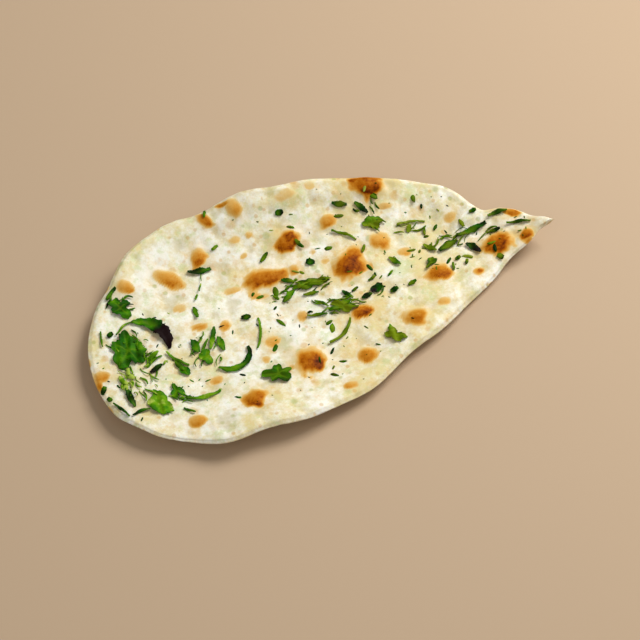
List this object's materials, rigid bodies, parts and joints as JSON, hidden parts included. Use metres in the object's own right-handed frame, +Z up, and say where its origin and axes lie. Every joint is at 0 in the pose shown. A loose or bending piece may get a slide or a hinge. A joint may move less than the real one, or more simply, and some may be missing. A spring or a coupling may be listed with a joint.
{
  "type": "naan bread",
  "caption": "Leaf-shaped flat naan with a pointed tip, a curled-up edge, toasted bubbles and chopped coriander leaf scattered on top.",
  "frame": {"origin": "middle of the bounding box in plan, at the table the bread rests on", "axes": "+X towards the pointed tip, +Y towards the side that curls up, +Z up"},
  "size_m": [0.2002, 0.1122, 0.0182],
  "materials": {
    "dough": "soft, faintly buttered crust",
    "coriander": "fresh leaf"
  },
  "bodies": {
    "root": {"naan": "dough", "leaf_1": "coriander", "leaf_2": "coriander", "leaf_3": "coriander", "leaf_4": "coriander", "leaf_5": "coriander", "leaf_6": "coriander", "leaf_7": "coriander", "leaf_8": "coriander", "leaf_9": "coriander", "leaf_10": "coriander", "leaf_11": "coriander", "leaf_12": "coriander", "leaf_13": "coriander", "stalk_1": "coriander", "stalk_2": "coriander", "stalk_3": "coriander", "stalk_4": "coriander", "stalk_5": "coriander", "stalk_6": "coriander", "stalk_7": "coriander", "stalk_8": "coriander", "stalk_9": "coriander", "stalk_10": "coriander", "stalk_11": "coriander", "stalk_12": "coriander", "stalk_13": "coriander", "stalk_14": "coriander", "stalk_15": "coriander", "stalk_16": "coriander", "stalk_17": "coriander", "stalk_18": "coriander", "stalk_19": "coriander", "stalk_20": "coriander", "stalk_21": "coriander", "stalk_22": "coriander", "stalk_23": "coriander", "stalk_24": "coriander", "stalk_25": "coriander", "stalk_26": "coriander", "stalk_27": "coriander", "stalk_28": "coriander", "stalk_29": "coriander", "stalk_30": "coriander", "stalk_31": "coriander", "stalk_32": "coriander", "stalk_33": "coriander", "stalk_34": "coriander", "stalk_35": "coriander", "stalk_36": "coriander", "stalk_37": "coriander", "stalk_38": "coriander", "stalk_39": "coriander", "stalk_40": "coriander", "stalk_41": "coriander", "stalk_42": "coriander", "stalk_43": "coriander"}
  },
  "joints": []
}
